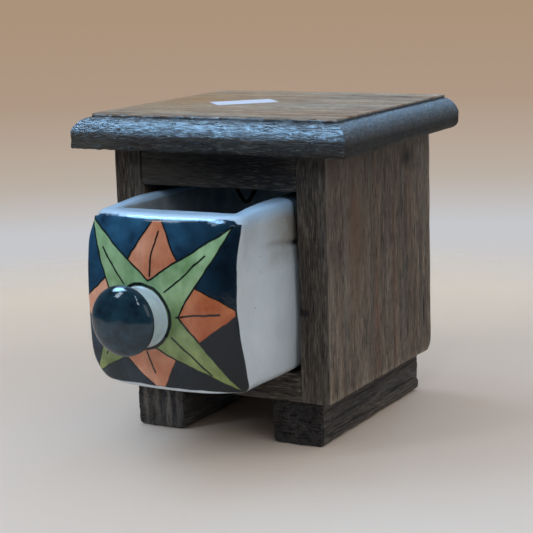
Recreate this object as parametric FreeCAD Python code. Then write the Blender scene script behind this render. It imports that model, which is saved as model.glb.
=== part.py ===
import FreeCAD, Part
import math
import os

os.makedirs("parts", exist_ok=True)

# A small nailed wooden cabinet on two runner feet, with one glazed ceramic drawer.
# X runs to the right, Y to the back and Z up. Sizes are in millimetres.
# The origin is on the ground, in the middle of the whole outline with the drawer as it rests.

# Side panels, with vertical grain
cabinet_width = 90.0
cabinet_depth = 96.5
panel_height = 93.0
panel_thickness = 11.7
panel_heel_radius = 5.0

# Rounding along the edges of the boards
board_arris = 0.5

# Top board with a moulded edge at the front and both ends
top_thickness = 13.5
top_side_overhang = 13.4
top_front_overhang = 10.1
top_back_setback = 1.0
moulding_width = 6.3
quirk_depth = 1.4
quirk_ledge = 0.9
ovolo_height = 6.0
ovolo_middle_shares = (0.3, 0.57)
top_lower_radius = 0.8

# Runner feet
foot_height = 17.3
foot_width = 21.2
foot_side_inset = 4.2
foot_front_setback = 2.0
foot_back_setback = 4.7
foot_lower_radius = 2.0

# Front rail, bottom board and back panel, all between the side panels
rail_height = 13.85
rail_thickness = 13.0
rail_setback = 0.4
bottom_thickness = 11.0
bottom_setback = 0.5
back_thickness = 6.0

# Ceramic drawer
drawer_left_gap = 0.3
drawer_right_gap = 4.8
drawer_under_gap = 0.3
drawer_over_gap = 2.9
drawer_behind_gap = 0.5
drawer_pull_out = 32.2
drawer_wall = 7.0
drawer_floor = 7.0
face_bulge = 8.0
drawer_left_keel_radius = 8.0
drawer_right_keel_radius = 3.0
drawer_rim_radius = 2.4
drawer_back_radius = 2.2
face_edge_radius = 1.8
pocket_radius = 4.0

# Ceramic knob on the drawer's face
knob_left_of_middle = 7.5
knob_below_middle = 5.0
knob_base_radius = 11.0
knob_waist_radius = 10.5
knob_head_radius = 13.0
knob_bead_radius = 1.8
knob_neck_length = 9.6
knob_dome_height = 3.4

# Bent wire under the rail that stops the drawer at its back wall
wire_radius = 0.75
wire_behind_front = 9.5
wire_right_of_middle = 7.2
wire_half_angle_degrees = 33.0
wire_drop = 6.1
wire_bend_radius = 1.6
wire_in_rail = 6.0

# Brads and nails
brad_radius = 0.7
brad_length = 26.0
brad_sink = 1.5
nail_radius = 0.9
nail_head_radius = 2.2
nail_head_thickness = 0.8
nail_length = 28.0
brad_row_shares = (0.18, 0.82)
nail_row_shares = (0.1, 0.9)

# Paper label on the top board
label_length = 25.0
label_width = 15.0
label_thickness = 0.15
label_left_of_middle = 14.0
label_behind_front = 47.5
label_turn_degrees = 44.0

# How far a cutting tool runs past what it cuts
overrun = 5.0

# How nearly an edge has to lie along a direction to be picked, where 1 is exact
parallel_share = 0.999

# Places worked out from the sizes above
half_width = cabinet_width / 2
inner_half_width = half_width - panel_thickness
panel_bottom = foot_height
panel_top = panel_bottom + panel_height
top_surface = panel_top + top_thickness
bottom_top = panel_bottom + bottom_thickness
rail_bottom = panel_top - rail_height
knob_length = knob_neck_length + 2 * knob_bead_radius + knob_dome_height

drawer_left = -inner_half_width + drawer_left_gap
drawer_right = inner_half_width - drawer_right_gap
drawer_width = drawer_right - drawer_left
drawer_middle = (drawer_left + drawer_right) / 2
drawer_bottom = bottom_top + drawer_under_gap
drawer_height = rail_bottom - drawer_over_gap - drawer_bottom
drawer_depth = cabinet_depth - back_thickness - drawer_behind_gap
face_half_diagonal = math.hypot(drawer_width, drawer_height) / 2
face_radius = (face_half_diagonal ** 2 + face_bulge ** 2) / (2 * face_bulge)
knob_off_middle = math.hypot(knob_left_of_middle, knob_below_middle)
knob_seat_drop = face_radius - math.sqrt(face_radius ** 2 - knob_off_middle ** 2)

front_reach = drawer_pull_out + face_bulge - knob_seat_drop + knob_length
cabinet_front = (front_reach - cabinet_depth) / 2
cabinet_back = cabinet_front + cabinet_depth
back_front = cabinet_back - back_thickness
drawer_front = cabinet_front - drawer_pull_out
knob_seat = drawer_front - face_bulge + knob_seat_drop


def block(x0, x1, y0, y1, z0, z1):
    return Part.makeBox(x1 - x0, y1 - y0, z1 - z0, FreeCAD.Vector(x0, y0, z0))


def board(x0, x1, y0, y1, z0, z1):
    shape = block(x0, x1, y0, y1, z0, z1)
    return shape.makeFillet(board_arris, shape.Edges)


def edges_along(shape, direction):
    found = []
    for edge in shape.Edges:
        run = edge.Vertexes[-1].Point - edge.Vertexes[0].Point
        if run.Length > 0 and abs(run.normalize().dot(direction)) > parallel_share:
            found.append(edge)
    return found


def edges_near(shape, axis, place, reach):
    found = []
    for edge in shape.Edges:
        box = edge.BoundBox
        low = (box.XMin, box.YMin, box.ZMin)[axis]
        high = (box.XMax, box.YMax, box.ZMax)[axis]
        if low > place - reach and high < place + reach:
            found.append(edge)
    return found


def moulding_cutter(length):
    """What the moulding takes off one edge: outline in inset and height, run along the edge."""
    ovolo_width = moulding_width - quirk_ledge
    ledge_height = top_thickness - quirk_depth
    ovolo_foot = ledge_height - ovolo_height
    middle = (ovolo_width * ovolo_middle_shares[0], ovolo_foot + ovolo_height * ovolo_middle_shares[1])
    outline = [
        (-overrun, top_thickness + overrun),
        (-overrun, ovolo_foot),
        (0, ovolo_foot),
        (ovolo_width, ledge_height),
        (moulding_width, ledge_height),
        (moulding_width, top_thickness + overrun),
    ]
    points = [FreeCAD.Vector(0, inset, height) for inset, height in outline]
    arc = Part.Arc(points[2], FreeCAD.Vector(0, middle[0], middle[1]), points[3]).toShape()
    edges = []
    for start, end in ((0, 1), (1, 2), (3, 4), (4, 5), (5, 0)):
        edges.append(Part.LineSegment(points[start], points[end]).toShape())
    edges.insert(2, arc)
    return Part.Face(Part.Wire(edges)).extrude(FreeCAD.Vector(length, 0, 0))


def top_board():
    x1 = half_width + top_side_overhang
    y0 = cabinet_front - top_front_overhang
    y1 = cabinet_back - top_back_setback
    shape = block(-x1, x1, y0, y1, panel_top, top_surface)
    upright_edges = edges_along(shape, FreeCAD.Vector(0, 0, 1))
    shape = shape.makeFillet(board_arris, upright_edges)
    lower_edges = edges_near(shape, 2, panel_top, board_arris)
    shape = shape.makeFillet(top_lower_radius, lower_edges)
    run = 2 * x1 + 2 * overrun
    front = moulding_cutter(run)
    front.translate(FreeCAD.Vector(-x1 - overrun, y0, panel_top))
    shape = shape.cut(front)
    side_run = y1 - y0 + 2 * overrun
    for side in (-1, 1):
        end = moulding_cutter(side_run)
        end.rotate(FreeCAD.Vector(0, 0, 0), FreeCAD.Vector(0, 0, 1), 90 * side)
        end.translate(FreeCAD.Vector(side * x1, (y0 + y1 - side * side_run) / 2, panel_top))
        shape = shape.cut(end)
    return shape


def side_panel(side):
    inner = side * inner_half_width
    outer = side * half_width
    x0 = min(inner, outer)
    shape = block(x0, x0 + panel_thickness, cabinet_front, cabinet_back, panel_bottom, panel_top)
    heel = []
    for edge in edges_along(shape, FreeCAD.Vector(1, 0, 0)):
        spot = edge.CenterOfMass
        if spot.y > cabinet_front + cabinet_depth / 2 and spot.z < panel_bottom + panel_height / 2:
            heel.append(edge)
    shape = shape.makeFillet(panel_heel_radius, heel)
    return shape.makeFillet(board_arris, shape.Edges)


def front_rail():
    y0 = cabinet_front + rail_setback
    return board(-inner_half_width, inner_half_width, y0, y0 + rail_thickness, rail_bottom, panel_top)


def bottom_board():
    y0 = cabinet_front + bottom_setback
    return board(-inner_half_width, inner_half_width, y0, back_front, panel_bottom, bottom_top)


def back_panel():
    return board(-inner_half_width, inner_half_width, back_front, cabinet_back, panel_bottom, panel_top)


def foot(side):
    outer = side * (half_width - foot_side_inset)
    x0 = min(outer, outer - side * foot_width)
    y0 = cabinet_front + foot_front_setback
    y1 = cabinet_back - foot_back_setback
    shape = block(x0, x0 + foot_width, y0, y1, 0, foot_height)
    lower = []
    for edge in edges_along(shape, FreeCAD.Vector(0, 1, 0)):
        if edge.CenterOfMass.z < foot_height / 2:
            lower.append(edge)
    shape = shape.makeFillet(foot_lower_radius, lower)
    upper_edges = edges_near(shape, 2, foot_height, board_arris)
    return shape.makeFillet(board_arris, upper_edges)


def face_ball():
    """The ball whose surface is the pillowed face of the drawer."""
    middle = FreeCAD.Vector(
        drawer_middle,
        drawer_front - face_bulge + face_radius,
        drawer_bottom + drawer_height / 2,
    )
    return Part.makeSphere(face_radius, middle)


def drawer_tub():
    y1 = drawer_front + drawer_depth
    z1 = drawer_bottom + drawer_height
    shape = block(drawer_left, drawer_right, drawer_front - face_bulge - overrun, y1, drawer_bottom, z1)
    for x, z, radius in (
        (drawer_left, drawer_bottom, drawer_left_keel_radius),
        (drawer_right, drawer_bottom, drawer_right_keel_radius),
        (drawer_left, z1, drawer_rim_radius),
        (drawer_right, z1, drawer_rim_radius),
    ):
        corner = edges_near(Part.Compound(edges_near(shape, 0, x, drawer_wall / 2)), 2, z, drawer_wall / 2)
        shape = shape.makeFillet(radius, corner)
    shape = shape.makeFillet(drawer_back_radius, edges_near(shape, 1, y1, drawer_wall / 2))
    shape = shape.common(face_ball())
    front_edges = []
    for edge in shape.Edges:
        if edge.BoundBox.YMax < drawer_front + drawer_wall / 2:
            front_edges.append(edge)
    shape = shape.makeFillet(face_edge_radius, front_edges)
    pocket = block(
        drawer_left + drawer_wall,
        drawer_right - drawer_wall,
        drawer_front + drawer_wall,
        y1 - drawer_wall,
        drawer_bottom + drawer_floor,
        z1 + overrun,
    )
    pocket = pocket.makeFillet(pocket_radius, edges_along(pocket, FreeCAD.Vector(0, 0, 1)))
    floor_edges = edges_near(pocket, 2, drawer_bottom + drawer_floor, drawer_floor / 2)
    pocket = pocket.makeFillet(pocket_radius / 2, floor_edges)
    shape = shape.cut(pocket)
    inner_rim = []
    for edge in edges_near(shape, 2, z1, drawer_wall / 100):
        spot = edge.BoundBox.Center
        inside_x = drawer_left + drawer_wall / 2 < spot.x < drawer_right - drawer_wall / 2
        inside_y = drawer_front + drawer_wall / 2 < spot.y < y1 - drawer_wall / 2
        if inside_x and inside_y:
            inner_rim.append(edge)
    return shape.makeFillet(drawer_rim_radius, inner_rim)


def drawer_knob():
    """Turned outline in radius and distance from the face, spun about the knob's axis."""
    bead = knob_bead_radius
    bead_ring = knob_head_radius - bead
    head_back = knob_neck_length
    head_front = knob_neck_length + 2 * bead
    points = [
        FreeCAD.Vector(0, overrun, 0),
        FreeCAD.Vector(knob_base_radius, overrun, 0),
        FreeCAD.Vector(knob_base_radius, 0, 0),
        FreeCAD.Vector(knob_waist_radius, -head_back / 2, 0),
        FreeCAD.Vector(bead_ring, -head_back, 0),
        FreeCAD.Vector(knob_head_radius, -head_back - bead, 0),
        FreeCAD.Vector(bead_ring, -head_front, 0),
        FreeCAD.Vector(0, -knob_length, 0),
    ]
    ball_radius = (bead_ring ** 2 + knob_dome_height ** 2) / (2 * knob_dome_height)
    half_turn = math.asin(bead_ring / ball_radius) / 2
    dome_middle = FreeCAD.Vector(
        ball_radius * math.sin(half_turn),
        ball_radius * (1 - math.cos(half_turn)) - knob_length,
        0,
    )
    edges = [
        Part.LineSegment(points[0], points[1]).toShape(),
        Part.LineSegment(points[1], points[2]).toShape(),
        Part.Arc(points[2], points[3], points[4]).toShape(),
        Part.Arc(points[4], points[5], points[6]).toShape(),
        Part.Arc(points[6], dome_middle, points[7]).toShape(),
        Part.LineSegment(points[7], points[0]).toShape(),
    ]
    shape = Part.Face(Part.Wire(edges)).revolve(FreeCAD.Vector(0, 0, 0), FreeCAD.Vector(0, 1, 0), 360)
    middle_height = drawer_bottom + drawer_height / 2
    shape.translate(FreeCAD.Vector(
        drawer_middle - knob_left_of_middle,
        knob_seat,
        middle_height - knob_below_middle,
    ))
    return shape.cut(face_ball())


def drawer_stop_wire():
    """A V of wire: two straight legs and a round bend, with both tips in the rail."""
    slope = math.radians(wire_half_angle_degrees)
    bend_side = wire_bend_radius * math.cos(slope)
    bend_rise = wire_bend_radius * (1 - math.sin(slope))
    tip_rise = wire_drop + wire_in_rail
    tip_side = bend_side + (tip_rise - bend_rise) * math.tan(slope)
    left_tip = FreeCAD.Vector(-tip_side, 0, tip_rise)
    right_tip = FreeCAD.Vector(tip_side, 0, tip_rise)
    left_bend = FreeCAD.Vector(-bend_side, 0, bend_rise)
    right_bend = FreeCAD.Vector(bend_side, 0, bend_rise)
    path = Part.Wire([
        Part.LineSegment(left_tip, left_bend).toShape(),
        Part.Arc(left_bend, FreeCAD.Vector(0, 0, 0), right_bend).toShape(),
        Part.LineSegment(right_bend, right_tip).toShape(),
    ])
    ring = Part.makeCircle(wire_radius, left_tip, left_bend - left_tip)
    shape = path.makePipeShell([Part.Wire([ring])], True, False)
    shape.translate(FreeCAD.Vector(
        wire_right_of_middle,
        cabinet_front + wire_behind_front,
        rail_bottom - wire_drop,
    ))
    return shape


def spread(low, high, shares):
    return [low + (high - low) * share for share in shares]


def top_brads():
    """Headless brads down through the top board into the side panels, set below the surface."""
    brads = []
    for side in (-1, 1):
        x = side * (half_width - panel_thickness / 2)
        for y in spread(cabinet_front, cabinet_back, brad_row_shares):
            foot_point = FreeCAD.Vector(x, y, top_surface - brad_sink - brad_length)
            brads.append(Part.makeCylinder(brad_radius, brad_length, foot_point))
    return brads


def side_brads():
    """Headless brads through the side panels into the rail, the bottom board and the back panel."""
    places = [(cabinet_front + rail_setback + rail_thickness / 2, panel_top - rail_height / 2)]
    for y in spread(cabinet_front, back_front, brad_row_shares):
        places.append((y, panel_bottom + bottom_thickness / 2))
    for z in spread(bottom_top, panel_top, brad_row_shares):
        places.append((cabinet_back - back_thickness / 2, z))
    brads = []
    for side in (-1, 1):
        start = side * (half_width - brad_sink)
        for y, z in places:
            spot = FreeCAD.Vector(start, y, z)
            brads.append(Part.makeCylinder(brad_radius, brad_length, spot, FreeCAD.Vector(-side, 0, 0)))
    return brads


def foot_nails():
    """Round-headed nails up through each runner, one row into the panel and one into the bottom board."""
    nails = []
    for side in (-1, 1):
        inner_edge = half_width - foot_side_inset - foot_width
        panel_row = (inner_half_width + half_width - foot_side_inset) / 2
        board_row = (inner_edge + inner_half_width) / 2
        front = cabinet_front + foot_front_setback
        back = cabinet_back - foot_back_setback
        for row, length in ((panel_row, nail_length), (board_row, foot_height + bottom_thickness / 2)):
            for y in spread(front, back, nail_row_shares):
                spot = FreeCAD.Vector(side * row, y, 0)
                head = Part.makeCylinder(nail_head_radius, nail_head_thickness, spot)
                shank = Part.makeCylinder(nail_radius, length, spot)
                nails.append(head.fuse(shank).removeSplitter())
    return nails


def paper_label():
    shape = block(
        -label_length / 2,
        label_length / 2,
        -label_width / 2,
        label_width / 2,
        0,
        label_thickness,
    )
    shape.rotate(FreeCAD.Vector(0, 0, 0), FreeCAD.Vector(0, 0, 1), label_turn_degrees)
    shape.translate(FreeCAD.Vector(
        -label_left_of_middle,
        cabinet_front + label_behind_front,
        top_surface,
    ))
    return shape


def less(shape, tools):
    """A board with the holes that its brads, nails or wire stand in."""
    for tool in tools:
        shape = shape.cut(tool)
    return shape


def save(name, shape):
    if not shape.isValid():
        raise ValueError(name + " is not a valid shape")
    shape.exportStep("parts/" + name + ".step")
    box = shape.BoundBox
    print(name, len(shape.Solids), "solids", round(shape.Volume), "mm3",
          [round(v, 2) for v in (box.XMin, box.YMin, box.ZMin, box.XMax, box.YMax, box.ZMax)])


top_row = top_brads()
side_rows = side_brads()
foot_rows = foot_nails()
stop = drawer_stop_wire()

save("top_board", less(top_board(), top_row))
save("side_panel_left", less(side_panel(-1), top_row + side_rows + foot_rows))
save("side_panel_right", less(side_panel(1), top_row + side_rows + foot_rows))
save("front_rail", less(front_rail(), side_rows + [stop]))
save("bottom_board", less(bottom_board(), side_rows + foot_rows))
save("back_panel", less(back_panel(), side_rows))
save("foot_left", less(foot(-1), foot_rows))
save("foot_right", less(foot(1), foot_rows))
save("drawer_stop_wire", stop)
save("top_brads", Part.makeCompound(top_row))
save("side_brads", Part.makeCompound(side_rows))
save("foot_nails", Part.makeCompound(foot_rows))
save("paper_label", paper_label())
save("drawer_tub", drawer_tub())
save("drawer_knob", drawer_knob())
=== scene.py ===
import math
from functools import partial, reduce
import bmesh
import bpy
from mathutils import Matrix, Vector


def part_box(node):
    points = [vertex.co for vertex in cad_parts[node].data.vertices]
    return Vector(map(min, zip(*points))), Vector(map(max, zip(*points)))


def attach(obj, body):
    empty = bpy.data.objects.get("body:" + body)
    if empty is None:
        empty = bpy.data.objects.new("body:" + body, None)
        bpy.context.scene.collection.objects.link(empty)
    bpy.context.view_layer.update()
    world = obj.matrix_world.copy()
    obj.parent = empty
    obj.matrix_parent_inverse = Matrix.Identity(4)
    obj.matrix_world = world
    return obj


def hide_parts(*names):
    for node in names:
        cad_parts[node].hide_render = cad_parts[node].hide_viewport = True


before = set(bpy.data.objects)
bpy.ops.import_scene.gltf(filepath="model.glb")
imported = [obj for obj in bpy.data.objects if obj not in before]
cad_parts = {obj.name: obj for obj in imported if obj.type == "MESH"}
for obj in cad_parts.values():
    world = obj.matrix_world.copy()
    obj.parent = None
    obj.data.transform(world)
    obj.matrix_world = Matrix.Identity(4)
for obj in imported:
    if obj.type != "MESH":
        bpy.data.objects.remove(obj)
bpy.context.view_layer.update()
mm = 0.001


# The camera, fitted to the straight edges of the cabinet
shot = {
    "place": (0.30034, -0.52801, 0.18152),
    "yaw": 28.87,
    "pitch": 11.05,
    "roll": -1.63,
    "lens": 108.07,
}


def newObject(name, data):
    made = bpy.data.objects.new(name, data)
    bpy.context.scene.collection.objects.link(made)
    return made


def setCamera():
    data = bpy.data.cameras.new("camera")
    data.lens = shot["lens"]
    camera = newObject("camera", data)
    turn = Matrix.Rotation(math.radians(shot["yaw"]), 4, "Z")
    turn = turn @ Matrix.Rotation(math.radians(90 - shot["pitch"]), 4, "X")
    turn = turn @ Matrix.Rotation(math.radians(shot["roll"]), 4, "Z")
    camera.matrix_world = Matrix.Translation(shot["place"]) @ turn
    bpy.context.scene.camera = camera


# Small tools for modelling

def deselectAll():
    bpy.ops.object.select_all(action="DESELECT")


def workOn(piece):
    deselectAll()
    piece.select_set(True)
    bpy.context.view_layer.objects.active = piece


def editing(on):
    bpy.ops.object.mode_set(mode="EDIT" if on else "OBJECT")


# Names the primitive just added and brings it to its size
def started(name, scale=(1, 1, 1)):
    piece = bpy.context.object
    piece.name = piece.data.name = name
    piece.scale = scale
    bpy.ops.object.transform_apply(location=True, rotation=True, scale=True)
    return piece


def startBox(name, low, high):
    low, high = Vector(low), Vector(high)
    deselectAll()
    bpy.ops.mesh.primitive_cube_add(size=1, location=(low + high) / 2)
    return started(name, high - low)


# In edit mode: selects the vertices, edges or faces that pass a test
def pick(piece, kind, test):
    bpy.ops.mesh.select_mode(type=kind)
    bpy.ops.mesh.select_all(action="DESELECT")
    mesh = bmesh.from_edit_mesh(piece.data)
    items = {"VERT": mesh.verts, "EDGE": mesh.edges, "FACE": mesh.faces}[kind]
    for item in items:
        if test(item):
            item.select_set(True)
    mesh.select_flush_mode()
    bmesh.update_edit_mesh(piece.data)


def roundEdges(piece, radius, segments, test):
    pick(piece, "EDGE", test)
    bpy.ops.mesh.bevel(offset=radius, segments=segments, affect="EDGES")


def middleOf(edge):
    return (edge.verts[0].co + edge.verts[1].co) / 2


def runsAlong(edge, axis):
    run = edge.verts[1].co - edge.verts[0].co
    return abs(run[axis]) > 0.999 * run.length


def near(a, b, reach=0.05 * mm):
    return abs(a - b) < reach


def isSharp(edge, degrees=40):
    return len(edge.link_faces) == 2 and edge.calc_face_angle(0) > math.radians(degrees)


# Cuts across an axis by evenly spaced planes, so that the piece can take relief
def cutAcross(axis, spacing, start, end):
    count = max(1, round((end - start) / spacing))
    normal = [0, 0, 0]
    normal[axis] = 1
    for i in range(count + 1):
        place = [0, 0, 0]
        place[axis] = start + (end - start) * i / count
        bpy.ops.mesh.select_all(action="SELECT")
        bpy.ops.mesh.bisect(plane_co=place, plane_no=normal)


def applied(piece, kind, **settings):
    workOn(piece)
    modifier = piece.modifiers.new(kind.lower(), kind)
    for key, value in settings.items():
        setattr(modifier, key, value)
    bpy.ops.object.modifier_apply(modifier=modifier.name)


def weigh(piece, name, weight):
    group = piece.vertex_groups.new(name=name)
    for vertex in piece.data.vertices:
        group.add([vertex.index], max(0.0, min(1.0, weight(vertex.co))), "REPLACE")
    return name


# Uneven relief in lumps of the given size along X, Y and Z, both in mm. At level 1 all of it goes
# inwards.
def roughen(piece, depth, lump, seed, group="", detail=2, level=0.6):
    texture = bpy.data.textures.new("relief", "CLOUDS")
    texture.noise_scale = 1
    texture.noise_depth = detail
    helper = newObject("relief", None)
    helper.scale = Vector(lump) * mm
    helper.location = (seed * 0.31, seed * 0.17, seed * 0.23)
    bpy.context.view_layer.update()
    applied(
        piece, "DISPLACE", texture=texture, texture_coords="OBJECT", texture_coords_object=helper,
        strength=depth * mm, mid_level=level, vertex_group=group,
    )
    bpy.data.objects.remove(helper)
    bpy.data.textures.remove(texture)


# Presses back flat whatever the relief pushed out of the board's own box
def pressFlat(piece, low, high):
    for vertex in piece.data.vertices:
        for axis in range(3):
            vertex.co[axis] = max(low[axis], min(high[axis], vertex.co[axis]))


def finished(piece, body, material, nodes, angle=35):
    workOn(piece)
    bpy.ops.object.shade_smooth_by_angle(angle=math.radians(angle))
    piece.data.materials.append(material)
    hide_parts(*nodes)
    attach(piece, body)
    print(piece.name, len(piece.data.polygons), "faces")


def ramp(value):
    value = max(0.0, min(1.0, value))
    return value * value * (3 - 2 * value)


# Small tools for materials

whole = (0.0, 1.0)  # the span of a source that is a share already


def fromHex(code):
    levels = [int(code[i:i + 2], 16) / 255 for i in (1, 3, 5)]
    return tuple(c / 12.92 if c <= 0.04045 else ((c + 0.055) / 1.055) ** 2.4 for c in levels) + (1.0,)


# Gives a node's inputs their values or links. A colour is written as its hex code.
def plug(node, inputs):
    pairs = inputs.items() if isinstance(inputs, dict) else enumerate(inputs)
    for key, value in pairs:
        if isinstance(value, bpy.types.NodeSocket):
            node.id_data.links.new(value, node.inputs[key])
        else:
            node.inputs[key].default_value = fromHex(value) if isinstance(value, str) else value


# Adds a node with its settings, inputs and colour stops, and gives back the output asked for
def addNode(tree, kind, inputs=(), out=0, stops=(), **settings):
    node = tree.nodes.new("ShaderNode" + kind)
    for key, value in settings.items():
        setattr(node, key, value)
    plug(node, inputs)
    stops = list(stops)
    for i, (place, code) in enumerate([*stops[:1], *stops[-1:], *stops[1:-1]] if stops else ()):
        points = node.color_ramp.elements
        stop = points[i] if i < 2 else points.new(place)
        stop.position = place
        stop.color = fromHex(code)
    return node.outputs[out]


# A new material with its coordinates in mm from a point, and its noises
def newMaterial(name, point, layers):
    material = bpy.data.materials.new(name)
    material.use_nodes = True
    tree = material.node_tree
    add = partial(addNode, tree)
    centred = millimetresFrom(add, point)
    return material, tree.nodes["Principled BSDF"], add, centred, noiseLayers(add, centred, layers)


# The lowest or highest of several values
def extreme(add, operation, values):
    return reduce(lambda a, b: add("Math", (a, b), operation=operation), values)


# The span over which an edge comes on, for its softness in mm
def around(softness):
    return -softness / 2, softness / 2


# Lays coats over a base colour, one after another. Each has a source, the span of the source over
# which the coat comes on, its colour, and the share that it reaches.
def coated(add, base, coats, how="MIX"):
    for source, span, colour, most in coats:
        share = add("MapRange", (source, *span, 0.0, most))
        base = add("Mix", {0: share, 6: base, 7: colour}, out=2, data_type="RGBA", blend_type=how)
    return base


# Object coordinates in mm, measured from a point of the piece
def millimetresFrom(add, point):
    coords = add("TexCoord", out="Object")
    offset = [-value / mm for value in point]
    return add("Mapping", {"Vector": coords, "Scale": (1 / mm,) * 3, "Location": offset})


# Noise for each layer of a finish: a name, the lump's size in mm, how much detail, how rough
def noiseLayers(add, coords, layers):
    made = {}
    for name, (size, detail, roughness) in layers.items():
        fitted = add("Mapping", {"Vector": coords, "Scale": [1 / length for length in size]})
        inputs = {"Vector": fitted, "Scale": 1.0, "Detail": detail, "Roughness": roughness}
        made[name] = add("TexNoise", inputs)
    return made


# Stained hardwood: sawn, stained dark by hand, and thinly varnished where it shines.
# The eye sees short dark fibres, open pores, warmer and greyer bands, and pale rubbed edges.
# Deep zones are darker: partly where the stain took darker, partly painted shade on the front faces
# and the top's moulding. Each is an axis, a side of the board and an inset in mm.
def stainedWood(name, low, high, grain, look):
    half = (high - low) / 2 / mm
    layers = {part: look[part] for part in ("blotch", "grit")}
    material, shader, add, centred, noise = newMaterial(name, (low + high) / 2, layers)
    along = add("Mapping", {"Vector": centred, "Rotation": grainTurns[grain], "Location": look["shift"]})
    bend = noiseLayers(add, along, {"bend": look["bend"]})["bend"].node.outputs["Color"]
    bend = add("VectorMath", (bend, look["bendBy"], along), operation="MULTIPLY_ADD")
    grainParts = ("figure", "fibre", "pore", "band", "patch")
    noise.update(noiseLayers(add, bend, {part: look[part] for part in grainParts}))
    warm, grey, _ = add("SeparateColor", (noise["band"].node.outputs["Color"],)).node.outputs

    tone = add("Math", (noise["figure"], 1 - look["fibreShare"]), operation="MULTIPLY")
    tone = add("Math", (noise["fibre"], look["fibreShare"], tone), operation="MULTIPLY_ADD")
    tones = zip(look["tonePlaces"], (look["dark"], look["middle"], look["light"]))
    colour = add("ValToRGB", (tone,), stops=tones)
    colour = coated(add, colour, [(warm, look["bandSpan"], *look["warm"])], "OVERLAY")
    colour = coated(add, colour, [
        (grey, look["bandSpan"], *look["grey"]),
        (noise["pore"], look["pitSpan"], *look["pit"]),
        (noise["blotch"], look["stainSpan"], *look["stain"]),
    ])

    # How far a point lies past the line that runs a rub's width inside each edge of the board
    code, most, width = look["rubbed"]
    away = add("VectorMath", (centred,), operation="ABSOLUTE")
    away = add("VectorMath", (away, half - Vector((width,) * 3)), operation="SUBTRACT")
    x, y, z = add("SeparateXYZ", (away,)).node.outputs
    edge = extreme(add, "MAXIMUM", [extreme(add, "MINIMUM", pair) for pair in ((x, y), (y, z), (x, z))])
    patches = add("MapRange", (noise["patch"], *look["rubSpan"], 0.0, most))
    edge = add("MapRange", (edge, *around(width)))
    rubbed = add("Math", (edge, patches), operation="MULTIPLY")
    colour = coated(add, colour, [(rubbed, whole, code, 1.0)])

    spots = add("SeparateXYZ", (centred,)).node.outputs
    zones = [
        add("Math", (spots[axis], side, inset - half[axis]), operation="MULTIPLY_ADD")
        for axis, side, inset in look["deep"]
    ]
    # Darker deep zones: partly stain, partly painted shade
    deep = add("MapRange", (extreme(add, "MAXIMUM", zones), *around(look["deepSoft"])))
    colour = coated(add, colour, [(deep, whole, look["deepTint"], 1.0)], "MULTIPLY")
    # Pale specks in the deep zones: partly scratches, partly painted glints of light on the rough stain
    code, most = look["scratchGlint"]
    scratchGlints = add("MapRange", (noise["pore"], *look["scratchGlintSpan"], 0.0, most))
    scratchGlints = add("Math", (deep, scratchGlints), operation="MULTIPLY")
    coats = [(scratchGlints, whole, code, 1.0)]
    for place, size, softness, code in look["marks"]:
        at = Vector(place) - (low + high) / 2 / mm
        off = add("VectorMath", (centred, at), operation="SUBTRACT")
        off = add("VectorMath", (off, [1 / length for length in size]), operation="MULTIPLY")
        off = add("VectorMath", (off,), out="Value", operation="LENGTH")
        ragged = add("Math", (noise["patch"], -2.0, 2.0), operation="MULTIPLY_ADD")
        coats.append((add("Math", (ragged, off), operation="SUBTRACT"), around(softness), code, 1.0))
    colour = coated(add, colour, coats)

    pits = add("MapRange", (noise["pore"], *look["pitSpan"], 0.0, look["pit"][1]))
    height = add("Math", (pits, look["pitShare"], noise["fibre"]), operation="MULTIPLY_ADD")
    grit = add("Math", (noise["grit"], deep), operation="MULTIPLY")
    height = add("Math", (grit, look["gritShare"], height), operation="MULTIPLY_ADD")
    bump = add("Bump", {"Height": height, "Strength": 1.0, "Distance": look["relief"] * mm})
    bottom, top, most = look["varnish"]
    varnish = add("MapRange", (spots[2], bottom - half.z, top - half.z, 0.0, most))
    plug(shader, {
        "Base Color": colour,
        "Roughness": add("MapRange", (noise["fibre"], 0.3, 0.7, *look["roughness"])),
        "IOR": 1.48,
        "Specular IOR Level": look["specular"],
        "Coat Weight": add("Math", (deep, varnish), operation="MULTIPLY"),
        "Coat Roughness": 0.2,
        "Coat IOR": 1.6,
        "Normal": bump,
        "Coat Normal": bump,
    })
    return material


grainTurns = {"X": (0, 0, 0), "Y": (0, 0, math.radians(90)), "Z": (0, math.radians(90), 0)}

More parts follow.
